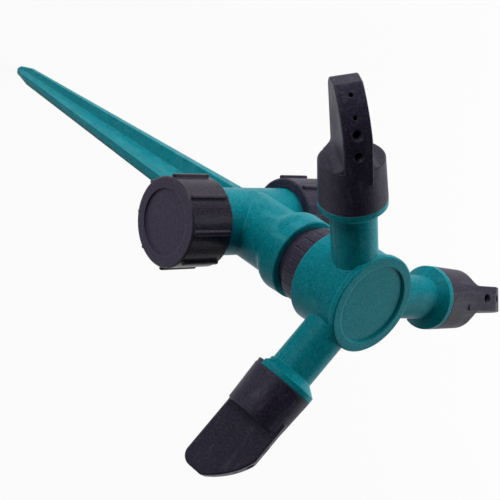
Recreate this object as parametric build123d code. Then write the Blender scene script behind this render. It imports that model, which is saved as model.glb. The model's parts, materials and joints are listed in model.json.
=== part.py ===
from build123d import *
import math
import os

# Three-arm rotating lawn sprinkler on a ground spike. Millimetres, +Z up as it stands in use.
# Origin: on the spike's axis at the ground line. Hose inlet towards +X, end cap towards -X.

# ---- heights: two above the ground line, and the rest stacked on them -----------------------
tee_height = 20.0              # cross tube's axis
cup_mouth = 56.9               # rim of the cup
shank_shown = 3.7              # bearing nut's shank between the cup's rim and the nut's head
nut_head_height = 8.9
nut_head_gap = 0.4             # between the nut's head and the turning hub
hub_depth = 15.5               # hub's underside to the arm axes, where the two shells meet
hub_rise = 9.1                 # arm axes to the face of the hub's lid

# ---- spike ---------------------------------------------------------------------------------
spike_depth = 169.5            # point of the spike below the ground line
shoulder_lift = 11.5           # from the point up to where the long taper ends
nose_lift = 3.0                # from the point up to where it starts to round over
wing_top = 17.2                # half width of the broad wings at the cross tube's axis
wing_taper = 0.0725            # how much they narrow for each millimetre down
rib_top = 10.7                 # half width of the cross ribs at the cross tube's axis
rib_taper = 0.036
edge_top = 2.1                 # half thickness at a wing's edge, at the cross tube's axis
edge_taper = 0.0068
root_top = 4.1                 # half thickness where the wings meet, at the cross tube's axis
root_taper = 0.0125
nose_width = 2.5               # half width at the nose
point_width = 0.8              # half width of the blunt point
point_edge = 0.5               # half thickness there, at the edges
point_root = 0.6               # and in the middle

# ---- cross tube, neck and cup --------------------------------------------------------------
tube_radius = 13.3             # outside of the cross tube
thread_radius = 13.2           # crest of the 3/4 inch hose thread under the end cap
waterway_radius = 10.2         # bore of the cross tube and of the neck
thread_relief = 1.2            # plain length left between the end cap's skirt and the tube
tube_end_chamfer = 0.8
bead_radius = 14.3             # snap bead that keeps the hose nut on
bead_flat = 1.1
neck_radius = 13.35
cup_radius = 16.2              # widest part of the cup
cup_mouth_radius = 16.0
cup_wall_height = 7.5          # near-straight wall under the cup's rim
flare_height = 7.1             # below it, the neck's swelling into the cup
cup_depth = 8.9                # from the rim down to the shoulder that the gasket lies on
rim_round = 0.45
thread_clearance = 0.10        # radial, between two plain cylinders that stand for a thread

# ---- end cap and hose nut: one grip pattern -------------------------------------------------
grip_radius = 17.4
grip_round = 0.6
rib_count = 8
rib_width = 1.9
rib_proud = 1.3
rib_setback = 0.9              # from the grip's outer face to the rounded end of a rib
rib_round = 0.55
end_cap_face = 41.3            # end cap's face, from the spike's axis
end_cap_length = 19.0
end_cap_rib_length = 17.3
end_cap_rib_phase = 10.0       # angle of one rib about the tube
end_cap_roof = 3.2
end_cap_recess_radius = 12.85
end_cap_recess_depth = 0.8
hose_nut_face = 18.6           # hose nut's inner face, from the spike's axis
hose_nut_length = 20.0
hose_nut_rib_length = 14.9
hose_nut_rib_phase = 17.0
hose_nut_lip = 2.6             # inward lip that the bead holds
hose_nut_relief_length = 6.1   # wide room for the bead and the washer
swivel_clearance = 0.25        # radial, lip round the tube and relief round the bead
swivel_play = 0.3              # axial, lip to bead
bead_length = 2.5
washer_thickness = 2.0
hose_washer_thickness = 3.0
washer_inner_radius = 9.8
washer_edge_gap = 0.3          # radial, rubber washer inside a thread
chamfer_lead = 0.6             # lead-in chamfer of the female threads

# ---- bearing nut and the parts it holds -----------------------------------------------------
nut_head_radius = 15.3
nut_chamfer = 0.6
nut_groove_count = 20
nut_groove_width = 0.55
nut_groove_depth = 0.5
nut_groove_start = 0.9         # plain band below the grooves
nut_groove_phase = 2.0         # angle of one groove about the hub's axis
shank_radius = 13.2
gasket_thickness = 1.5
gasket_edge_gap = 0.3
nut_room_radius = 10.0         # room inside the shank for the stem's flange and the washers
lip_drop = 5.6                 # from the head's underside down to the lip that holds the stem
running_gap = 0.06             # radial and axial, between pieces that turn on each other
seal_thickness = 1.2
thrust_thickness = 0.8
washer_room_gap = 0.2          # radial, washers inside the shank

# ---- stem ------------------------------------------------------------------------------------
stem_radius = 7.5
stem_bore_radius = 4.8
stem_flange_radius = 9.6
stem_flange_thickness = 3.0
stem_neck_radius = 6.5         # threaded end that passes through the hub's floor
stem_end_above_floor = 6.0
fit_gap = 0.03                 # radial, between pieces clamped or pressed together
stem_gasket_thickness = 1.0
stem_gasket_radius = 9.5
lock_nut_across_flats = 19.0
lock_nut_height = 4.0

# ---- rotor shells ------------------------------------------------------------------------------
hub_bottom_radius = 18.4
hub_barrel_radius = 17.8       # just under the lid
lid_radius = 19.0
lid_thickness = 2.4            # height of the lid's edge
lid_recess_radius = 15.2
lid_recess_depth = 1.0
hub_floor = 2.6
hub_roof = 2.0                 # under the lid's recess
hub_wall = 2.4
hub_round = 0.5
arm_count = 3
first_arm_angle = 114.75       # from +X, anticlockwise seen from above
arm_radius = 8.35
arm_bore_radius = 6.0
flange_start = 36.4            # along an arm, from the hub's axis to the flange's cone
flange_cone_length = 3.0
flange_rim_length = 2.2
flange_radius = 12.23
spigot_radius = 9.0
spigot_bore_radius = 5.4
spigot_length = 10.8
o_ring_offset = 5.2            # from the flange to the middle of the O-ring
o_ring_section = 0.9           # radius of the O-ring's cord
o_ring_squeeze_gap = 0.03
o_ring_groove_width = 2.4
snap_offset = 8.4              # from the flange to the middle of the snap bead
snap_width = 1.4
snap_height = 0.35

# ---- nozzles -------------------------------------------------------------------------------------
nozzle_roll = 28.0             # lean of the spray side from straight up, against the rotor's turn
skirt_length = 16.4
shoulder_radius = 11.55
shoulder_round = 0.5
socket_clearance = 0.08
socket_extra = 0.6             # socket depth beyond the spigot's end
nozzle_play = 0.2              # along the arm, between the flange and the skirt
blade_length = 27.2            # beyond the shoulder
blade_sunk = 5.3               # start of the blade inside the shoulder
blade_thickness = 9.8
blade_back = 10.3              # from the arm's axis to the blade's straight back edge
curve_length = 15.7            # along the arm, of the curve that ends the blade's front edge
curve_fall = 12.15             # how far that curve drops towards the back
curve_bulge = 1.6              # and its height over its own chord
knee_round = 3.0               # where the curve leaves the straight edge
tip_round = 1.0                # where it meets the flat end
blade_corner = 4.4             # radius of the back corner
blade_edge_round = 0.6
blade_root_fillet = 3.0        # between the shoulder and the blade's two flats
web_setback = 0.15             # of that fillet's ends, under the shoulder's outside
chamber_wall = 2.3
root_jet_setback = 5.3         # first jet, on the straight edge before the curve
curve_jets = (0.13, 0.41, 0.79)            # the other jets, as shares of the curve
jet_radii = (1.1, 1.1, 0.8, 0.8)           # root to tip
jet_mouth_radii = (2.0, 2.0, 0.0, 0.0)     # countersinks of the two root jets
jet_mouth_depth = 1.2
lug_side = 150.0               # angle of the lug about the arm, from the spray side
lug_angle = 26.0               # its width, as an angle about the arm
lug_length = 1.6
lug_depth = 2.6                # radial
lug_setback = 0.15             # under the flange's outside
turn_travel = 50.0             # degrees the nozzle can turn from rest
stop_angle = 1.5               # between the lug and the flange's stops at either end of the travel
sector_steps = 3               # straight sides that bound a sector beyond the flange

# ---- places that follow from the sizes above ---------------------------------------------------
nut_head_bottom = cup_mouth + shank_shown
nut_head_top = nut_head_bottom + nut_head_height
hub_bottom = nut_head_top + nut_head_gap
arm_height = hub_bottom + hub_depth
hub_top = arm_height + hub_rise
flare_end = cup_mouth - cup_wall_height
flare_start = flare_end - flare_height
cup_floor = cup_mouth - cup_depth
lip_underside = nut_head_bottom - lip_drop
tube_start = -(end_cap_face - end_cap_roof - washer_thickness)
bead_start = hose_nut_face + hose_nut_lip + swivel_play
tube_end = bead_start + bead_length
shank_bottom = cup_floor + gasket_thickness
shank_room = shank_radius + thread_clearance
cap_thread_bore = thread_radius + thread_clearance
flange_top = lip_underside - seal_thickness - thrust_thickness - running_gap
floor_top = hub_bottom + hub_floor
flange_cone_end = flange_start + flange_cone_length
flange_end = flange_cone_end + flange_rim_length
spigot_end = flange_end + spigot_length
skirt_start = flange_end + nozzle_play
skirt_end = flange_end + skirt_length
blade_end = skirt_end + blade_length
lug_outer = flange_radius - lug_setback
cavity_radius = hub_barrel_radius - hub_wall


def turned(*profile):
    """Solid of revolution about Z from (radius, height) corners."""
    return revolve(make_face(Plane.XZ * Polyline(*profile, close=True)), Axis.Z)


def ring(outer, inner, low, high):
    """Plain ring about Z."""
    return turned((inner, low), (outer, low), (outer, high), (inner, high))


def rod(radius, low, high):
    """Plain round bar about Z."""
    return Pos(0, 0, low) * Cylinder(radius, high - low, align=(Align.CENTER, Align.CENTER, Align.MIN))


def along_x(shape):
    """Turns a piece made about Z so that its +Z points along +X at the cross tube's height."""
    return Pos(0, 0, tee_height) * Rot(0, 90, 0) * shape


def along_minus_x(shape):
    """The same, with its +Z pointing along -X."""
    return Pos(0, 0, tee_height) * Rot(0, -90, 0) * shape


def spread_about_z(shape, count, phase=0.0):
    """Copies of a shape at equal angles about Z."""
    return [Rot(0, 0, phase + 360.0 * i / count) * shape for i in range(count)]


# ---- one-piece tee and spike --------------------------------------------------------------------

def wing_section(height, wing, rib, edge, root):
    """Four-winged section: thick where the wings meet, thin at their edges."""
    quarter = [(wing, edge), (root, root), (edge, rib)]
    half = quarter + [(-x, y) for x, y in reversed(quarter)]
    outline = half + [(-x, -y) for x, y in half]
    return make_face(Plane.XY.offset(height) * Polyline(*outline, close=True))


def tapered_section(drop):
    """The spike's section at a distance below the cross tube's axis."""
    return wing_section(
        tee_height - drop,
        wing_top - wing_taper * drop,
        rib_top - rib_taper * drop,
        edge_top - edge_taper * drop,
        root_top - root_taper * drop,
    )


def spike():
    shoulder = tee_height + spike_depth - shoulder_lift
    taper = loft([tapered_section(waterway_radius), tapered_section(shoulder)], ruled=True)
    nose_edge = edge_top - edge_taper * shoulder
    nose_root = root_top - root_taper * shoulder
    nose = wing_section(nose_lift - spike_depth, nose_width, nose_width, nose_edge, nose_root)
    point = wing_section(-spike_depth, point_width, point_width, point_edge, point_root)
    return taper + loft([tapered_section(shoulder), nose], ruled=True) + loft([nose, point], ruled=True)


def cross_tube():
    """Outside of the cross tube, turned about the tube's axis with +Z towards the hose."""
    thread_stop = -(end_cap_face - end_cap_length + thread_relief)
    return turned(
        (0, tube_start),
        (thread_radius - tube_end_chamfer, tube_start),
        (thread_radius, tube_start + tube_end_chamfer),
        (thread_radius, thread_stop),
        (tube_radius, thread_stop),
        (tube_radius, bead_start),
        (bead_radius, bead_start),
        (bead_radius, bead_start + bead_flat),
        (tube_radius, tube_end),
        (0, tube_end),
    )


def neck_and_cup():
    """Neck that swells in an S curve into the cup."""
    flare = Spline(
        (neck_radius, flare_start),
        (cup_radius, flare_end),
        tangents=[(0, 1), (0, 1)],
    )
    rest = Polyline(
        (cup_radius, flare_end),
        (cup_mouth_radius, cup_mouth - rim_round),
        (cup_mouth_radius - rim_round, cup_mouth),
        (0, cup_mouth),
        (0, tee_height),
        (neck_radius, tee_height),
        (neck_radius, flare_start),
    )
    return revolve(make_face(Plane.XZ * (flare + rest)), Axis.Z)


def tee_spike_body():
    outside = along_x(cross_tube()) + neck_and_cup() + spike()
    cross_bore = along_x(rod(waterway_radius, tube_start, tube_end))
    neck_bore = rod(waterway_radius, tee_height, cup_floor)
    cup_bore = rod(shank_room, cup_floor, cup_mouth)
    return outside - cross_bore - neck_bore - cup_bore


# ---- end cap and hose nut -----------------------------------------------------------------------

def grip_ribs(far_end, length, phase):
    """Round-ended ribs on the grip cylinder, ending rib_setback short of far_end."""
    top = far_end - rib_setback
    outline = Pos(0, top - length / 2) * SlotOverall(length, rib_width, rotation=90)
    inner = grip_radius - rib_proud
    rib = extrude(Plane.XZ.offset(-inner) * outline, amount=-2 * rib_proud)
    outer_edges = rib.edges().group_by(Axis.Y)[-1]
    return spread_about_z(fillet(outer_edges, rib_round), rib_count, phase)


def end_cap():
    """Made with its face up: its own +Z ends at end_cap_face."""
    skirt = end_cap_face - end_cap_length
    roof = end_cap_face - end_cap_roof
    body = turned(
        (cap_thread_bore + chamfer_lead, skirt),
        (grip_radius, skirt),
        (grip_radius, end_cap_face - grip_round),
        (grip_radius - grip_round, end_cap_face),
        (end_cap_recess_radius, end_cap_face),
        (end_cap_recess_radius, end_cap_face - end_cap_recess_depth),
        (0, end_cap_face - end_cap_recess_depth),
        (0, roof),
        (cap_thread_bore, roof),
        (cap_thread_bore, skirt + chamfer_lead),
    )
    return along_minus_x(body + grip_ribs(end_cap_face, end_cap_rib_length, end_cap_rib_phase))


def end_cap_washer():
    outer = cap_thread_bore - washer_edge_gap
    roof = end_cap_face - end_cap_roof
    return along_minus_x(ring(outer, washer_inner_radius, roof - washer_thickness, roof))


def hose_nut():
    """Swivel nut: inward lip at its inner face, then the relief, then the hose thread."""
    far = hose_nut_face + hose_nut_length
    lip_top = hose_nut_face + hose_nut_lip
    relief_top = lip_top + hose_nut_relief_length
    lip_bore = tube_radius + swivel_clearance
    relief = bead_radius + swivel_clearance
    body = turned(
        (lip_bore, hose_nut_face),
        (grip_radius - grip_round, hose_nut_face),
        (grip_radius, hose_nut_face + grip_round),
        (grip_radius, far),
        (cap_thread_bore + chamfer_lead, far),
        (cap_thread_bore, far - chamfer_lead),
        (cap_thread_bore, relief_top),
        (relief, relief_top),
        (relief, lip_top),
        (lip_bore, lip_top),
    )
    ribs = grip_ribs(-hose_nut_face, hose_nut_rib_length, hose_nut_rib_phase)
    return along_x(body + [mirror(rib, Plane.XY) for rib in ribs])


def hose_washer():
    outer = cap_thread_bore - washer_edge_gap
    return along_x(ring(outer, washer_inner_radius, tube_end, tube_end + hose_washer_thickness))


# ---- bearing --------------------------------------------------------------------------------------

def bearing_nut():
    """Grooved head on a threaded shank; the stem turns in its bore."""
    bore = stem_radius + running_gap
    body = turned(
        (nut_room_radius, shank_bottom),
        (shank_radius, shank_bottom),
        (shank_radius, nut_head_bottom),
        (nut_head_radius - nut_chamfer, nut_head_bottom),
        (nut_head_radius, nut_head_bottom + nut_chamfer),
        (nut_head_radius, nut_head_top),
        (bore, nut_head_top),
        (bore, lip_underside),
        (nut_room_radius, lip_underside),
    )
    groove_bottom = nut_head_bottom + nut_groove_start
    groove = Pos(nut_head_radius, 0, (groove_bottom + nut_head_top) / 2) * Box(
        2 * nut_groove_depth, nut_groove_width, nut_head_top - groove_bottom
    )
    return body - spread_about_z(groove, nut_groove_count, nut_groove_phase)


def bearing_gasket():
    """Flat ring that the nut's shank squeezes on to the cup's floor."""
    return ring(shank_room - gasket_edge_gap, waterway_radius, cup_floor, shank_bottom)


def stem_seal():
    outer = nut_room_radius - washer_room_gap
    return ring(outer, stem_radius + running_gap, lip_underside - seal_thickness, lip_underside)


def thrust_washer():
    outer = nut_room_radius - washer_room_gap
    top = lip_underside - seal_thickness
    return ring(outer, stem_radius + running_gap, top - thrust_thickness, top)


def rotor_stem():
    """Hollow stem: flange held under the bearing nut, shoulder and thread at the hub's floor."""
    return turned(
        (stem_bore_radius, flange_top - stem_flange_thickness),
        (stem_flange_radius, flange_top - stem_flange_thickness),
        (stem_flange_radius, flange_top),
        (stem_radius, flange_top),
        (stem_radius, hub_bottom),
        (stem_neck_radius, hub_bottom),
        (stem_neck_radius, floor_top + stem_end_above_floor),
        (stem_bore_radius, floor_top + stem_end_above_floor),
    )


def stem_gasket():
    return ring(stem_gasket_radius, stem_neck_radius + fit_gap, floor_top, floor_top + stem_gasket_thickness)


def stem_lock_nut():
    seat = floor_top + stem_gasket_thickness
    hexagon = RegularPolygon(lock_nut_across_flats / 2, 6, major_radius=False)
    hole = Circle(stem_neck_radius + fit_gap)
    return extrude(Plane.XY.offset(seat) * (hexagon - hole), amount=lock_nut_height)


# ---- rotor ------------------------------------------------------------------------------------------

def arm_plane(index):
    """Frame of one arm: +Z outward along the arm, +X towards the nozzle's spray side."""
    heading = math.radians(first_arm_angle - 360.0 * index / arm_count)
    lean = math.radians(nozzle_roll)
    outward = Vector(math.cos(heading), math.sin(heading), 0)
    sideways = Vector(-math.sin(heading), math.cos(heading), 0)
    spray = Vector(0, 0, math.cos(lean)) + sideways * math.sin(lean)
    return Plane(origin=(0, 0, arm_height), x_dir=spray, z_dir=outward)


def arm_outside():
    """Tube, coned flange and spigot of one arm, about its own Z."""
    groove_root = spigot_radius + socket_clearance - 2 * o_ring_section - 2 * o_ring_squeeze_gap
    groove = flange_end + o_ring_offset
    snap = flange_end + snap_offset
    return turned(
        (0, cavity_radius),
        (arm_radius, cavity_radius),
        (arm_radius, flange_start),
        (flange_radius, flange_cone_end),
        (flange_radius, flange_end),
        (spigot_radius, flange_end),
        (spigot_radius, groove - o_ring_groove_width / 2),
        (groove_root, groove - o_ring_groove_width / 2),
        (groove_root, groove + o_ring_groove_width / 2),
        (spigot_radius, groove + o_ring_groove_width / 2),
        (spigot_radius, snap - snap_width / 2),
        (spigot_radius + snap_height, snap - snap_width / 2),
        (spigot_radius + snap_height, snap),
        (spigot_radius, snap + snap_width / 2),
        (spigot_radius, spigot_end),
        (0, spigot_end),
    )


def arm_waterway():
    """Bore of one arm, from inside the hub's cavity to the spigot's mouth."""
    start = cavity_radius - hub_wall
    return turned(
        (0, start),
        (arm_bore_radius, start),
        (arm_bore_radius, flange_cone_end),
        (spigot_bore_radius, flange_end),
        (spigot_bore_radius, spigot_end),
        (0, spigot_end),
    )


def rim_sector(start, sweep, inner, low, high):
    """Part of a flange's rim between two angles, reaching in to a radius."""
    reach = 2 * flange_radius
    corners = [(0.0, 0.0)]
    for step in range(sector_steps + 1):
        angle = math.radians(start + sweep * step / sector_steps)
        corners.append((reach * math.cos(angle), reach * math.sin(angle)))
    sector = make_face(Polyline(*corners, close=True)) - Circle(inner)
    return extrude(Plane.XY.offset(low) * sector, amount=high - low)


def lug_notch():
    """Gap through the flange: the nozzle's lug runs in it and stops at its ends."""
    start = lug_side - lug_angle / 2 - stop_angle
    sweep = lug_angle + turn_travel + 2 * stop_angle
    return rim_sector(start, sweep, spigot_radius, flange_start, flange_end)


def rotor():
    """Whole rotor as the two shells make it when they are welded."""
    lid_bottom = hub_top - lid_thickness
    barrel = turned(
        (0, hub_bottom),
        (hub_bottom_radius - hub_round, hub_bottom),
        (hub_bottom_radius, hub_bottom + hub_round),
        (hub_barrel_radius, lid_bottom),
        (lid_radius, lid_bottom),
        (lid_radius, hub_top - hub_round),
        (lid_radius - hub_round, hub_top),
        (lid_recess_radius, hub_top),
        (lid_recess_radius, hub_top - lid_recess_depth),
        (0, hub_top - lid_recess_depth),
    )
    ceiling = hub_top - lid_recess_depth - hub_roof
    cavity = rod(cavity_radius, floor_top, ceiling)
    stem_hole = rod(stem_neck_radius + fit_gap, hub_bottom, floor_top)
    frames = [arm_plane(i).location for i in range(arm_count)]
    arms = [frame * arm_outside() for frame in frames]
    waterways = [frame * arm_waterway() for frame in frames]
    notches = [frame * lug_notch() for frame in frames]
    return barrel + arms - notches - waterways - cavity - stem_hole


def nozzle_o_ring(index):
    middle = spigot_radius + socket_clearance - o_ring_squeeze_gap - o_ring_section
    section = Pos(middle, flange_end + o_ring_offset) * Circle(o_ring_section)
    return arm_plane(index).location * revolve(Plane.XZ * section, Axis.Z)


# ---- nozzles -----------------------------------------------------------------------------------------

def blade_curve():
    """Curve that ends the blade's front edge; X towards the spray side, Y along the arm."""
    start = (shoulder_radius, blade_end - curve_length)
    return SagittaArc(start, (shoulder_radius - curve_fall, blade_end), -curve_bulge)


def rounded_corner(face, corner, radius):
    return fillet(face.vertices().sort_by_distance(corner)[0], radius)


def blade_outline():
    """Side view of the blade, in the same plane as its curve."""
    curve = blade_curve()
    start, end = curve @ 0, curve @ 1
    root = skirt_end - blade_sunk
    back_corner = (-blade_back, blade_end)
    rest = Polyline(end, back_corner, (-blade_back, root), (shoulder_radius, root), start)
    face = rounded_corner(make_face(curve + rest), back_corner, blade_corner)
    face = rounded_corner(face, start, knee_round)
    return rounded_corner(face, end, tip_round)


def blade_section():
    """Blade cut across the arm: two flats, and a front that follows the shoulder's curve."""
    width = 2 * shoulder_radius
    section = Rectangle(width, blade_thickness) & Circle(shoulder_radius)
    return fillet(section.vertices().sort_by(Axis.X)[-2:], blade_edge_round)


def blade():
    """Flat blade with rounded rims."""
    slab = extrude(Plane.XZ * blade_outline(), amount=blade_thickness / 2, both=True)
    flats = slab.faces().sort_by(Axis.Y)
    slab = fillet(flats[0].edges() + flats[-1].edges(), blade_edge_round)
    return slab & extrude(blade_section(), amount=blade_end)


def root_webs():
    """Concave fillets that run from the shoulder into the blade's two flats."""
    inner = blade_thickness / 2
    outer = inner + blade_root_fillet
    foot = skirt_end - shoulder_round
    top = skirt_end + blade_root_fillet
    outline = Polyline((0, foot), (outer, foot), (outer, top), (0, top), close=True)
    hollow = Plane.YZ * Pos(outer, top) * Circle(blade_root_fillet)
    web = extrude(make_face(Plane.YZ * outline) - hollow, amount=shoulder_radius, both=True)
    behind = Pos(blade_edge_round - blade_back, 0, foot) * Box(
        shoulder_radius, 2 * outer, 2 * top, align=(Align.MAX, Align.CENTER, Align.MIN)
    )
    inside = rod(shoulder_radius - web_setback, foot, top)
    return ((web + mirror(web, Plane.XZ)) & inside) - behind


def jets():
    """Drills for the jets, from the chamber out square to the blade's front edge."""
    curve = blade_curve()
    places = [(Vector(shoulder_radius, blade_end - curve_length - root_jet_setback), Vector(0, 1))]
    places += [(curve @ share, curve % share) for share in curve_jets]
    drills = []
    for (point, edge), radius, mouth in zip(places, jet_radii, jet_mouth_radii):
        drill = rod(radius, -2 * chamber_wall, 2 * chamber_wall)
        if mouth > 0:
            drill += Pos(0, 0, -jet_mouth_depth) * Cone(
                radius, 2 * mouth - radius, 2 * jet_mouth_depth, align=(Align.CENTER, Align.CENTER, Align.MIN)
            )
        frame = Plane(origin=(point.X, 0, point.Y), x_dir=(0, 1, 0), z_dir=(edge.Y, 0, -edge.X))
        drills.append(frame.location * drill)
    return drills


def nozzle():
    """Nozzle in the arm's frame: skirt over the spigot, then the flat blade with its jets."""
    socket = spigot_radius + socket_clearance
    socket_end = spigot_end + socket_extra
    snap = flange_end + snap_offset
    snap_room = socket + snap_height
    lug_root = skirt_start + shoulder_round
    skirt = turned(
        (0, skirt_start),
        (flange_radius, skirt_start),
        (shoulder_radius, skirt_end - shoulder_round),
        (shoulder_radius - shoulder_round, skirt_end),
        (0, skirt_end),
    )
    hollow = turned(
        (0, flange_end),
        (socket, flange_end),
        (socket, snap - snap_width),
        (snap_room, snap - snap_width),
        (snap_room, snap + snap_width),
        (socket, snap + snap_width),
        (socket, socket_end),
        (0, socket_end),
    )
    lug_start = lug_side - lug_angle / 2
    lug = rim_sector(lug_start, lug_angle, lug_outer - lug_depth, flange_end - lug_length, lug_root)
    lug = lug & rod(lug_outer, 0, lug_root)
    chamber_half = blade_thickness / 2 - chamber_wall
    chamber = extrude(Plane.XZ * offset(blade_outline(), -chamber_wall), amount=chamber_half, both=True)
    feed = rod(spigot_bore_radius, socket_end, skirt_end - chamber_wall)
    outside = skirt + blade() + root_webs() + lug
    return outside - hollow - chamber - feed - jets()


def main():
    shells = rotor()
    seam = Plane.XY.offset(arm_height)
    parts = {
        "tee_spike_body": tee_spike_body(),
        "end_cap": end_cap(),
        "end_cap_washer": end_cap_washer(),
        "hose_nut": hose_nut(),
        "hose_washer": hose_washer(),
        "bearing_nut": bearing_nut(),
        "bearing_gasket": bearing_gasket(),
        "stem_seal": stem_seal(),
        "thrust_washer": thrust_washer(),
        "rotor_stem": rotor_stem(),
        "stem_gasket": stem_gasket(),
        "stem_lock_nut": stem_lock_nut(),
        "rotor_base": split(shells, bisect_by=seam, keep=Keep.BOTTOM),
        "rotor_cover": split(shells, bisect_by=seam, keep=Keep.TOP),
    }
    one_nozzle = nozzle()
    for i in range(arm_count):
        parts[f"nozzle_{i + 1}"] = arm_plane(i).location * one_nozzle
        parts[f"nozzle_o_ring_{i + 1}"] = nozzle_o_ring(i)
    os.makedirs("parts", exist_ok=True)
    for name, shape in parts.items():
        export_step(shape, f"parts/{name}.step")
        print(name, round(shape.volume), "mm3")


main()
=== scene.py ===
"""Looks of a rotating three-arm lawn sprinkler on a spike, in moulded teal and black plastic."""

import json
import math

import bpy
import numpy as np
from mathutils import Matrix, Vector


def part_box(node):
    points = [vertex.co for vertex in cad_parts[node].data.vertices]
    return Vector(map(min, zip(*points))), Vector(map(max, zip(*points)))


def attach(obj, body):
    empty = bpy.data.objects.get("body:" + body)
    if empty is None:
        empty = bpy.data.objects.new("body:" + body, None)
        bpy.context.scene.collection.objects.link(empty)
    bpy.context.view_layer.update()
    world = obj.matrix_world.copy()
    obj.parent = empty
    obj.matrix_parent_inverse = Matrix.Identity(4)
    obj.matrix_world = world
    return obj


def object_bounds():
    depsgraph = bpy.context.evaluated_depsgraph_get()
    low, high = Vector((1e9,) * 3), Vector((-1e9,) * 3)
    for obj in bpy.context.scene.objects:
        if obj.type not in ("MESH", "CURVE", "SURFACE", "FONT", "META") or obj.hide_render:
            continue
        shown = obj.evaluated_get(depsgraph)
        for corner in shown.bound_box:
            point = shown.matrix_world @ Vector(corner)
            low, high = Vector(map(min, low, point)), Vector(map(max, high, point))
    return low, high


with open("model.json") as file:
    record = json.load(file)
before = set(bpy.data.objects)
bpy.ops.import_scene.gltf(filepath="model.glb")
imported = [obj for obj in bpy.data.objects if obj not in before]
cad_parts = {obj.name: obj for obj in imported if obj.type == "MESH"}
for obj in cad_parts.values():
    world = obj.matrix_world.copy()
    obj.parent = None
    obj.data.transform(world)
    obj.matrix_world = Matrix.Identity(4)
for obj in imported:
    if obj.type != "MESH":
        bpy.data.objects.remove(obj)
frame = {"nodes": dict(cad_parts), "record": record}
cad_low, cad_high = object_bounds()

MM = 0.001
TEE_HEIGHT = next(m["pos_m"][2] for m in frame["record"]["mounts"] if m["name"] == "hose_inlet")
ARM_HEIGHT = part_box("rotor_cover")[0].z

# hose thread, G 3/4
THREAD_PITCH = 25.4 / 14 * MM
THREAD_RELIEF = 1.2 * MM               # from the end cap's skirt in to the tube's thread
TUBE_WALL = (12.9 * MM, 13.25 * MM)    # radii that hold only the tube's threaded outside
CAP_WALL = (13.2 * MM, 13.6 * MM)      # and only the end cap's threaded bore
CAP_LEAD = 0.6 * MM                    # lead-in chamfer of that bore
THREAD_BUMP = 0.8 * MM
RIDGE_ROOT = 13.32 * MM                # of the real ridge inside the hose nut, just in its wall
RIDGE_CREST = 12.1 * MM
RIDGE_SETBACK = 0.9 * MM               # from the washer to the middle of the ridge
RIDGE_LEAD = 1.0 * MM                  # and from there, at its other end, to the nut's open end
RIDGE_STEPS = 72                       # rows of the ridge's grid in one turn

# end cap
CAP_RIM = 3.0 * MM                     # from the tops of its ribs in to a circle round its recess
CAP_RIM_BLEND = 0.2 * MM
CAP_FACE_DEPTH = 2.5 * MM              # inside the circle, all down to here is face
CAP_FACE_BLEND = (0.05 * MM, 0.35 * MM)    # outside it, depths between which the face ends

# rotor
STREAK_RADIUS = 60.0 * MM              # where the streaks along the arms have their true width
STREAK_LENGTH = 6.0                    # times their width
STREAK_START = (19.5 * MM, 24.0 * MM)  # distances from the rotor's axis that they fade in between
SEAM_WIDTH = (0.05 * MM, 0.16 * MM)    # weld line: half widths at full depth and at none
SEAM_DEPTH = 0.06 * MM

TEAL_ROUND = 0.55 * MM                 # radii that edges are softened to
BLACK_ROUND = 0.5 * MM
RUBBER_ROUND = 0.3 * MM
ACETAL_ROUND = 0.2 * MM
EDGE_SAMPLES = 6
EDGE_SPREAD = (0.985, 0.90)            # cosine from soft to true normal, off an edge and on one

TEAL = (0.0025, 0.345, 0.420, 1.0)
TEAL_DEEP = (0.0020, 0.270, 0.340, 1.0)
TEAL_SHADE = (0.0010, 0.180, 0.235, 1.0)
# painted highlight: pale teal laid on the edges
TEAL_EDGE_HIGHLIGHT = (0.060, 0.68, 0.74, 1.0)
# pale teal: partly flow marks and partly painted sheen
TEAL_PALE_MARK_AND_SHEEN = (0.060, 0.450, 0.500, 1.0)
BLACK = (0.0420, 0.0350, 0.0700, 1.0)
BLACK_DEEP = (0.0180, 0.0145, 0.0350, 1.0)
# pale specks and streaks of wear, and also a painted highlight on the edges
BLACK_WEAR_AND_EDGE_HIGHLIGHT = (0.150, 0.132, 0.190, 1.0)
BLACK_FACE = (0.0860, 0.0720, 0.1280, 1.0)
BLACK_FACE_DEEP = (0.0560, 0.0460, 0.0860, 1.0)
BLACK_GLOSSY = (0.0560, 0.0460, 0.0720, 1.0)
BLACK_GLOSSY_DEEP = (0.0260, 0.0210, 0.0360, 1.0)
RUBBER = (0.010, 0.010, 0.010, 1.0)
RUBBER_BLOOM = (0.024, 0.024, 0.025, 1.0)
ACETAL = (0.70, 0.70, 0.66, 1.0)
ACETAL_WARM = (0.62, 0.62, 0.57, 1.0)

TEAL_TINTS = (                         # pattern, its value at none and at all, share, and colour
    ("cloud and flow", 0.36, 0.66, 0.75, TEAL_DEEP),
    ("speckle", 0.50, 0.66, 0.75, TEAL_SHADE),
    # pale teal from here on: speckle of pigment, and flow and cloud patches that are partly flow
    # marks and partly painted sheen
    ("speckle", 0.47, 0.32, 0.40, TEAL_PALE_MARK_AND_SHEEN),
    ("flow", 0.53, 0.70, 0.50, TEAL_PALE_MARK_AND_SHEEN),
    ("cloud", 0.56, 0.74, 0.40, TEAL_PALE_MARK_AND_SHEEN),
)

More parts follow.
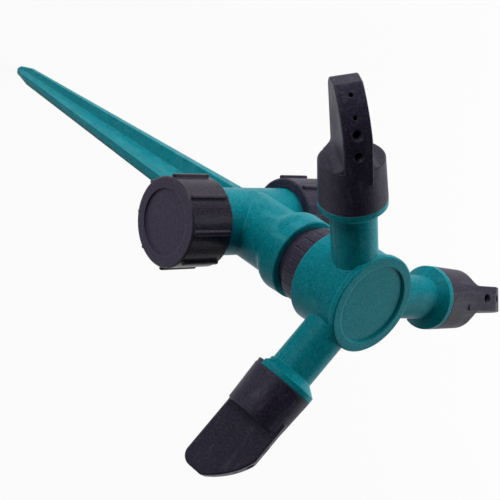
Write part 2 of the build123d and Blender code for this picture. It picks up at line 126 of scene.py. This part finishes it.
# studio
FLOOR_REACH = 3.0
FLOOR_WHITES = (0.86, 0.86, 0.86, 1.0), (0.88, 0.88, 0.88, 1.0)
FLOOR_SEEN_WHITE = 0.93                # share of plain white in the floor as it is seen
HORIZON = (0.10, 0.40)                 # from white wall up to dim ceiling, as sines of height
WALL_LIGHT = 1.0
CEILING_LIGHT = 0.02
FILL_LIGHT = 0.05
LAMP_DISTANCE = 1.0
LAMP_SIZE = 0.5
LAMPS = (                              # name, turn, lift, watts, and whether it makes highlights
    ("key", 60, 9, 4.6, True),
    ("upper_left", 120, 50, 2.6, True),
    ("right", 355, 5, 2.2, True),
    ("low_right", 330, -15, 1.9, True),
    ("back", 0, -35, 5.0, False),
)
CAMERA_PLACE = (-0.3198, 0.1501, 0.3534)
CAMERA_RIGHT = Vector((0.75099, 0.25971, 0.60709))
CAMERA_UP = Vector((0.02497, 0.90757, -0.41915))
CAMERA_BACK = Vector((-0.65984, 0.32994, 0.67509))
CAMERA_LENS = 87.81
CAMERA_SENSOR = 36.0


# ---- shader building blocks ---------------------------------------------------------------------

class Finish:
    """A material under construction: its methods add nodes and return an output socket."""

    def __init__(self, name):
        self.material = bpy.data.materials.new(name)
        self.material.use_nodes = True
        self.tree = self.material.node_tree
        self.tree.nodes.clear()
        self.place = self.add("ShaderNodeTexCoord").outputs["Object"]

    def add(self, kind, **settings):
        """The new node itself."""
        made = self.tree.nodes.new(kind)
        for key, value in settings.items():
            setattr(made, key, value)
        return made

    def feed(self, socket, value):
        """Links a socket to an input, or sets it to a plain value."""
        if isinstance(value, bpy.types.NodeSocket):
            self.tree.links.new(value, socket)
        else:
            socket.default_value = value

    def calc(self, operation, *values):
        made = self.add("ShaderNodeMath", operation=operation)
        for socket, value in zip(made.inputs, values):
            self.feed(socket, value)
        return made.outputs[0]

    def mean(self, first, second):
        return self.calc("MULTIPLY", self.calc("ADD", first, second), 0.5)

    def hypot(self, first, second):
        """Square root of the sum of two squares."""
        squares = [self.calc("MULTIPLY", side, side) for side in (first, second)]
        return self.calc("SQRT", self.calc("ADD", *squares))

    def between(self, value, low, high):
        """1 where low < value < high, otherwise 0."""
        above = self.calc("GREATER_THAN", value, low)
        return self.calc("MULTIPLY", above, self.calc("LESS_THAN", value, high))

    def ramp(self, value, low, high, start=0.0, end=1.0):
        """Smooth step from start at low to end at high."""
        made = self.add("ShaderNodeMapRange", interpolation_type="SMOOTHSTEP")
        for socket, number in zip(made.inputs, (value, low, high, start, end)):
            self.feed(socket, number)
        return made.outputs[0]

    def texture(self, place, scale, detail, roughness=0.5):
        """Fractal noise at a place, with features of about 1/scale metres."""
        made = self.add("ShaderNodeTexNoise")
        self.feed(made.inputs["Vector"], place)
        made.inputs["Scale"].default_value = scale
        made.inputs["Detail"].default_value = detail
        made.inputs["Roughness"].default_value = roughness
        return made.outputs["Fac"]

    def noise(self, scale, detail, stretch=(1.0, 1.0, 1.0), roughness=0.5):
        """Fractal noise in object space, drawn out along the axes whose stretch is under 1."""
        mapped = self.add("ShaderNodeMapping")
        self.feed(mapped.inputs["Vector"], self.place)
        mapped.inputs["Scale"].default_value = stretch
        return self.texture(mapped.outputs[0], scale, detail, roughness)

    def arm_streaks(self, scale):
        """Noise drawn out along the rotor's arms, which fades to its middle inside the hub.

        It reads the angle about the rotor's axis times a radius, the height, and the distance
        from the axis divided by the streaks' length.
        """
        x, y, z = self.axes()
        arc = self.calc("MULTIPLY", self.calc("ARCTAN2", y, x), STREAK_RADIUS)
        radius = self.hypot(x, y)
        joined = self.add("ShaderNodeCombineXYZ")
        outward = self.calc("DIVIDE", radius, STREAK_LENGTH)
        for socket, value in zip(joined.inputs, (arc, z, outward)):
            self.feed(socket, value)
        streaks = self.texture(joined.outputs[0], scale, detail=3.0)
        outside = self.ramp(radius, *STREAK_START)
        return self.calc("MULTIPLY_ADD", self.calc("SUBTRACT", streaks, 0.5), outside, 0.5)

    def mix(self, factor, first, second):
        made = self.add("ShaderNodeMix", data_type="RGBA")
        self.feed(made.inputs[0], factor)
        self.feed(made.inputs[6], first)
        self.feed(made.inputs[7], second)
        return made.outputs[2]

    def tint(self, colour, other, where, amount):
        """Colour with a share of another one in it, where the mask is 1."""
        return self.mix(self.calc("MULTIPLY", where, amount), colour, other)

    def axes(self):
        made = self.add("ShaderNodeSeparateXYZ")
        self.feed(made.inputs[0], self.place)
        return made.outputs

    def rounded(self, radius):
        """Normal of the surface with its sharp edges softened, and how near an edge is, 0 to 1."""
        soft = self.add("ShaderNodeBevel", samples=EDGE_SAMPLES)
        soft.inputs["Radius"].default_value = radius
        flat = self.add("ShaderNodeNewGeometry").outputs["Normal"]
        facing = self.add("ShaderNodeVectorMath", operation="DOT_PRODUCT")
        self.feed(facing.inputs[0], soft.outputs[0])
        self.feed(facing.inputs[1], flat)
        return soft.outputs[0], self.ramp(facing.outputs["Value"], *EDGE_SPREAD)

    def bump(self, normal, height, distance, strength=1.0):
        """Normal after a height has been added that is distance metres at 1."""
        made = self.add("ShaderNodeBump")
        made.inputs["Strength"].default_value = strength
        made.inputs["Distance"].default_value = distance
        self.feed(made.inputs["Height"], height)
        self.feed(made.inputs["Normal"], normal)
        return made.outputs[0]

    def surface(self, colour, roughness, normal, specular=0.5, subsurface=0.0):
        """Ends the material with a plain shader and returns it."""
        shader = self.add("ShaderNodeBsdfPrincipled")
        self.feed(shader.inputs["Base Color"], colour)
        self.feed(shader.inputs["Roughness"], roughness)
        self.feed(shader.inputs["Normal"], normal)
        shader.inputs["Specular IOR Level"].default_value = specular
        shader.inputs["Subsurface Weight"].default_value = subsurface
        self.feed(self.add("ShaderNodeOutputMaterial").inputs["Surface"], shader.outputs[0])
        return self.material


def thread_wave(finish, start, end, inner, outer):
    """Right-handed thread about the cross tube's axis, as (height, mask).

    Height is a triangle wave of x / pitch - angle / (2 pi), from 0 to 1. It and the mask are 0
    outside two places along the tube and two radii.
    """
    x, y, z = finish.axes()
    up = finish.calc("SUBTRACT", z, TEE_HEIGHT)
    angle = finish.calc("DIVIDE", finish.calc("ARCTAN2", up, y), 2 * math.pi)
    turns = finish.calc("SUBTRACT", finish.calc("DIVIDE", x, THREAD_PITCH), angle)
    wave = finish.calc("MULTIPLY", finish.calc("PINGPONG", turns, 0.5), 2.0)
    along = finish.between(x, start, end)
    wall = finish.between(finish.hypot(y, up), inner, outer)
    mask = finish.calc("MULTIPLY", along, wall)
    return finish.calc("MULTIPLY", wave, mask), mask


# ---- plastics, rubber and acetal ----------------------------------------------------------------

def teal_plastic(name, seam=None, thread=None):
    """Satin teal moulding with flow clouds, pale streaks and patches that are partly flow marks and
    partly painted sheen, a fine speckle of pigment, and a painted highlight along the edges.

    seam is the height of the rotor's weld line, and with it the streaks run along the arms; on the
    tee they run along the spike. thread is a (start, end, inner, outer), and painted shade darkens
    its valleys.
    """
    finish = Finish(name)
    normal, edge = finish.rounded(TEAL_ROUND)
    cloud = finish.noise(scale=75.0, detail=3.0, roughness=0.6)
    flow = finish.noise(scale=190.0, detail=3.0, stretch=(1.0, 1.0, 0.3), roughness=0.6)
    if seam is not None:
        flow = finish.mean(flow, finish.arm_streaks(scale=260.0))
    speckle = finish.noise(scale=1250.0, detail=2.0, roughness=0.75)
    grain = finish.noise(scale=2600.0, detail=2.0)

    patterns = {"cloud": cloud, "flow": flow, "speckle": speckle,
                "cloud and flow": finish.mean(cloud, flow)}
    colour = TEAL
    for pattern, low, high, share, other in TEAL_TINTS:
        colour = finish.tint(colour, other, finish.ramp(patterns[pattern], low, high), share)
    # painted highlight: the edges are lightened towards pale teal
    colour = finish.tint(colour, TEAL_EDGE_HIGHLIGHT, edge, 0.85)
    satin = finish.ramp(flow, 0.3, 0.7, start=0.26, end=0.38)
    rough = finish.calc("ADD", satin, finish.calc("MULTIPLY", grain, 0.08))
    normal = finish.bump(normal, grain, distance=0.020 * MM, strength=0.7)
    normal = finish.bump(normal, cloud, distance=0.20 * MM, strength=0.3)

    if seam is not None:
        away = finish.calc("ABSOLUTE", finish.calc("SUBTRACT", finish.axes()[2], seam))
        line = finish.ramp(away, *SEAM_WIDTH, start=1.0, end=0.0)
        colour = finish.tint(colour, TEAL_DEEP, line, 0.45)
        normal = finish.bump(normal, line, distance=-SEAM_DEPTH)
    if thread is not None:
        height, mask = thread_wave(finish, *thread)
        normal = finish.bump(normal, height, distance=THREAD_BUMP)
        # painted shade: the thread's valleys are darkened towards deep teal
        valley_shade = finish.calc("MULTIPLY", finish.calc("SUBTRACT", 1.0, height), mask)
        colour = finish.tint(colour, TEAL_DEEP, valley_shade, 0.5)
    return finish.surface(colour, rough, normal, specular=0.06)


def on_cap_face(finish, face, rim):
    """1 on the end cap's face and in its recess, and 0 on its sides.

    face is the face's x, and rim the radius of a circle round the recess.
    """
    x, y, z = finish.axes()
    radius = finish.hypot(y, finish.calc("SUBTRACT", z, TEE_HEIGHT))
    inside = finish.ramp(radius, rim - CAP_RIM_BLEND, rim, start=1.0, end=0.0)
    depth = finish.calc("SUBTRACT", x, finish.calc("MULTIPLY", inside, CAP_FACE_DEPTH))
    low, high = CAP_FACE_BLEND
    return finish.ramp(depth, face + low, face + high, start=1.0, end=0.0)


def black_plastic(name, polished=None, thread=None, arms=False):
    """Grainy black moulding: pale specks, streaks of wear, and edges lightened by a painted
    highlight of patchy strength.

    polished is the (face, rim) of an end cap, as in on_cap_face: its face stays matt, and its sides
    are polished and darker. thread is a (start, end, inner, outer). arms draws the streaks out
    along the rotor's arms.
    """
    finish = Finish(name)
    normal, edge = finish.rounded(BLACK_ROUND)
    grain = finish.noise(scale=1300.0, detail=3.0, roughness=0.75)
    grit = finish.ramp(grain, 0.38, 0.62)
    specks = finish.ramp(grain, 0.56, 0.70)
    patch = finish.noise(scale=90.0, detail=3.0)

    if polished is None:
        if arms:
            streak = finish.arm_streaks(scale=420.0)
        else:
            streak = finish.noise(scale=420.0, detail=3.0, stretch=(0.2, 1.0, 1.0))
        colour = finish.mix(grit, BLACK_DEEP, BLACK)
        colour = finish.tint(colour, BLACK_WEAR_AND_EDGE_HIGHLIGHT, finish.ramp(streak, 0.54, 0.74), 0.30)
        matt = finish.ramp(patch, 0.3, 0.7, start=0.38, end=0.48)
        rough = finish.calc("ADD", matt, finish.calc("MULTIPLY", grain, 0.12))
        specular = 0.20
    else:
        on_face = on_cap_face(finish, *polished)
        sides = finish.mix(grit, BLACK_GLOSSY_DEEP, BLACK_GLOSSY)
        colour = finish.mix(on_face, sides, finish.mix(grit, BLACK_FACE_DEEP, BLACK_FACE))
        gloss = finish.ramp(grain, 0.3, 0.7, start=0.26, end=0.36)
        rough = finish.calc("ADD", finish.calc("MULTIPLY", on_face, 0.18), gloss)
        specks = finish.calc("MULTIPLY", specks, finish.calc("MULTIPLY_ADD", on_face, 0.6, 0.3))
        specular = 0.14

    colour = finish.tint(colour, BLACK_WEAR_AND_EDGE_HIGHLIGHT, specks, 0.30)
    # painted highlight on the edges, stronger in some patches than in others
    edge_highlight_share = finish.ramp(patch, 0.3, 0.7, start=0.45, end=0.85)
    colour = finish.tint(colour, BLACK_WEAR_AND_EDGE_HIGHLIGHT, edge, edge_highlight_share)
    normal = finish.bump(normal, grain, distance=0.03 * MM, strength=0.7)
    if thread is not None:
        normal = finish.bump(normal, thread_wave(finish, *thread)[0], distance=-THREAD_BUMP)
    return finish.surface(colour, rough, normal, specular)


def black_rubber():
    """Matt black rubber with a faint bloom."""
    finish = Finish("black_rubber")
    grain = finish.noise(scale=1800.0, detail=3.0)
    bloom = finish.noise(scale=120.0, detail=2.0)
    colour = finish.mix(finish.ramp(bloom, 0.4, 0.7), RUBBER, RUBBER_BLOOM)
    rough = finish.ramp(grain, 0.3, 0.7, start=0.70, end=0.85)
    normal = finish.bump(finish.rounded(RUBBER_ROUND)[0], grain, distance=0.02 * MM, strength=0.8)
    return finish.surface(colour, rough, normal, specular=0.4)


def white_acetal():
    """Natural acetal: warm white, slightly waxy, with faint turning marks."""
    finish = Finish("white_acetal")
    marks = finish.noise(scale=900.0, detail=2.0, stretch=(0.1, 0.1, 1.0))
    cloud = finish.noise(scale=80.0, detail=2.0)
    colour = finish.mix(finish.ramp(cloud, 0.35, 0.65), ACETAL, ACETAL_WARM)
    rough = finish.ramp(marks, 0.3, 0.7, start=0.28, end=0.36)
    normal = finish.bump(finish.rounded(ACETAL_ROUND)[0], marks, distance=0.01 * MM, strength=0.6)
    return finish.surface(colour, rough, normal, subsurface=0.15)


def cover(material, *nodes):
    """Gives CAD nodes their finish."""
    for node in nodes:
        slots = frame["nodes"][node].data.materials
        slots.clear()
        slots.append(material)


# ---- finishes of the CAD pieces -----------------------------------------------------------------

tube_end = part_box("end_cap_washer")[1].x
cap_low, cap_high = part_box("end_cap")
cap_rim = (cap_high.y - cap_low.y) / 2 - CAP_RIM
tube_thread = (tube_end, cap_high.x - THREAD_RELIEF, *TUBE_WALL)
cap_thread = (tube_end, cap_high.x - CAP_LEAD, *CAP_WALL)

cover(teal_plastic("teal_tee_plastic", thread=tube_thread), "tee_spike_body")
cover(teal_plastic("teal_rotor_base_plastic", seam=ARM_HEIGHT), "rotor_base")
cover(teal_plastic("teal_rotor_cover_plastic", seam=ARM_HEIGHT), "rotor_cover")
cap_black = black_plastic("black_end_cap_plastic", polished=(cap_low.x, cap_rim), thread=cap_thread)
cover(cap_black, "end_cap")
nut_black = black_plastic("black_nut_plastic")
cover(nut_black, "hose_nut", "bearing_nut")
cover(black_plastic("black_nozzle_plastic", arms=True), "nozzle_1", "nozzle_2", "nozzle_3")
cover(black_rubber(), "end_cap_washer", "hose_washer", "bearing_gasket", "stem_seal",
      "stem_gasket", "nozzle_o_ring_1", "nozzle_o_ring_2", "nozzle_o_ring_3")
cover(white_acetal(), "thrust_washer", "rotor_stem", "stem_lock_nut")


# ---- thread inside the hose nut -----------------------------------------------------------------

def grid_mesh(name, points):
    """Mesh object from a grid of points, shape (rows, columns, 3)."""
    rows, columns = points.shape[:2]
    index = np.arange(rows * columns).reshape(rows, columns)
    left, right = index[:, :-1], index[:, 1:]
    quads = np.stack([left[:-1], right[:-1], right[1:], left[1:]], axis=-1).reshape(-1, 4)
    mesh = bpy.data.meshes.new(name)
    mesh.from_pydata(points.reshape(-1, 3).tolist(), [], quads.tolist())
    mesh.polygons.foreach_set("use_smooth", np.ones(len(quads), bool))
    made = bpy.data.objects.new(name, mesh)
    bpy.context.scene.collection.objects.link(made)
    return made


def hose_thread(name, start, length, root, crest):
    """Ridge of a female thread about the cross tube's axis.

    Point (s, t): s turns about the axis while x grows by one pitch a turn; t walks the ridge's
    trapezium, from the wall at the root radius in to the crest radius and back. The ridge's
    height fades to nothing over the first and the last third of a turn.
    """
    turns = length / THREAD_PITCH
    s = np.linspace(0.0, turns, int(turns * RIDGE_STEPS) + 1)[:, None]
    fade = np.clip(np.minimum(s, turns - s) * 3.0, 0.0, 1.0)
    fade = fade * fade * (3.0 - 2.0 * fade)
    across = np.array([-0.46, -0.10, -0.04, 0.04, 0.10, 0.46])[None, :]
    rise = np.array([0.0, 0.92, 1.0, 1.0, 0.92, 0.0])[None, :]
    radius = root + (crest - root) * rise * fade
    x = start + (s + across) * THREAD_PITCH
    angle = s * 2 * math.pi + 0.0 * across
    points = np.stack([x, radius * np.cos(angle), TEE_HEIGHT + radius * np.sin(angle)], axis=-1)
    return grid_mesh(name, points)


ridge_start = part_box("hose_washer")[1].x + RIDGE_SETBACK
ridge_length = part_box("hose_nut")[1].x - RIDGE_LEAD - ridge_start
ridge = hose_thread("hose_nut_thread", ridge_start, ridge_length, RIDGE_ROOT, RIDGE_CREST)
ridge.data.materials.append(nut_black)
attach(ridge, "hose_nut_body")


# ---- floor, light and camera --------------------------------------------------------------------

def seen_rays(tree):
    """1 on rays from the camera, a gloss or a clear material, and 0 on rays that gather light."""
    path = tree.nodes.new("ShaderNodeLightPath")
    total = path.outputs["Is Camera Ray"]
    for other in ("Is Glossy Ray", "Is Transmission Ray"):
        either = tree.nodes.new("ShaderNodeMath")
        either.operation = "MAXIMUM"
        tree.links.new(total, either.inputs[0])
        tree.links.new(path.outputs[other], either.inputs[1])
        total = either.outputs[0]
    return total


def pale_floor():
    """Large white sheet at the height of the spike's point.

    Rays that see it find it near white, with a soft shadow. To rays that gather light it is
    plain matt.
    """
    reach = FLOOR_REACH
    corners = np.array([[[-reach, -reach, 0], [reach, -reach, 0]],
                        [[-reach, reach, 0], [reach, reach, 0]]])
    sheet = grid_mesh("floor", corners + np.array([0, 0, cad_low.z]))
    finish = Finish("pale_floor")
    matt = finish.add("ShaderNodeBsdfDiffuse")
    clouds = finish.noise(scale=30.0, detail=3.0)
    finish.feed(matt.inputs["Color"], finish.mix(clouds, *FLOOR_WHITES))
    white = finish.add("ShaderNodeEmission")
    blend = finish.add("ShaderNodeMixShader")
    finish.feed(blend.inputs[0], finish.calc("MULTIPLY", seen_rays(finish.tree), FLOOR_SEEN_WHITE))
    finish.feed(blend.inputs[1], matt.outputs[0])
    finish.feed(blend.inputs[2], white.outputs[0])
    finish.feed(finish.add("ShaderNodeOutputMaterial").inputs["Surface"], blend.outputs[0])
    sheet.data.materials.append(finish.material)


def studio_surroundings(wall, ceiling, fill):
    """A white wall round the horizon under a dim ceiling, as eyes and glosses see it.

    fill is the light that the surroundings give.
    """
    world = bpy.data.worlds.new("studio_surroundings")
    world.use_nodes = True
    tree = world.node_tree
    tree.nodes.clear()
    way = tree.nodes.new("ShaderNodeSeparateXYZ")
    tree.links.new(tree.nodes.new("ShaderNodeTexCoord").outputs["Generated"], way.inputs[0])
    level = tree.nodes.new("ShaderNodeMapRange")
    level.interpolation_type = "SMOOTHSTEP"
    tree.links.new(way.outputs["Z"], level.inputs[0])
    for socket, number in zip(level.inputs[1:5], (*HORIZON, wall, ceiling)):
        socket.default_value = number
    strength = tree.nodes.new("ShaderNodeMix")
    tree.links.new(seen_rays(tree), strength.inputs[0])
    strength.inputs[2].default_value = fill
    tree.links.new(level.outputs[0], strength.inputs[3])
    light = tree.nodes.new("ShaderNodeBackground")
    tree.links.new(strength.outputs[0], light.inputs["Strength"])
    light.inputs["Color"].default_value = (1.0, 1.0, 1.0, 1.0)
    tree.links.new(light.outputs[0], tree.nodes.new("ShaderNodeOutputWorld").inputs[0])
    bpy.context.scene.world = world


def from_camera(turn, lift):
    """Direction at turn degrees anticlockwise from the camera's right, lift degrees towards it."""
    turn, lift = math.radians(turn), math.radians(lift)
    level = math.cos(turn) * CAMERA_RIGHT + math.sin(turn) * CAMERA_UP
    return math.cos(lift) * level + math.sin(lift) * CAMERA_BACK


def soft_lamp(name, toward, power, highlights):
    """Square area lamp that faces the sprinkler's middle, with or without highlights."""
    lamp = bpy.data.objects.new(name, bpy.data.lights.new(name, "AREA"))
    lamp.data.size = LAMP_SIZE
    lamp.data.energy = power
    lamp.location = (cad_low + cad_high) / 2 + toward.normalized() * LAMP_DISTANCE
    lamp.rotation_mode = "QUATERNION"
    lamp.rotation_quaternion = toward.to_track_quat("Z", "Y")
    lamp.visible_glossy = highlights
    bpy.context.scene.collection.objects.link(lamp)


def main_camera():
    """Looks down at the sprinkler from beside its end cap; the spike runs up and left."""
    camera = bpy.data.objects.new("camera", bpy.data.cameras.new("camera"))
    turn = Matrix((CAMERA_RIGHT, CAMERA_UP, CAMERA_BACK)).transposed().to_4x4()
    camera.matrix_world = Matrix.Translation(CAMERA_PLACE) @ turn
    camera.data.lens = CAMERA_LENS
    camera.data.sensor_width = CAMERA_SENSOR
    bpy.context.scene.collection.objects.link(camera)
    bpy.context.scene.camera = camera


pale_floor()
studio_surroundings(WALL_LIGHT, CEILING_LIGHT, FILL_LIGHT)
for lamp_name, turn, lift, watts, highlights in LAMPS:
    soft_lamp(lamp_name, from_camera(turn, lift), watts, highlights)
main_camera()
bpy.context.scene.view_settings.view_transform = "Standard"
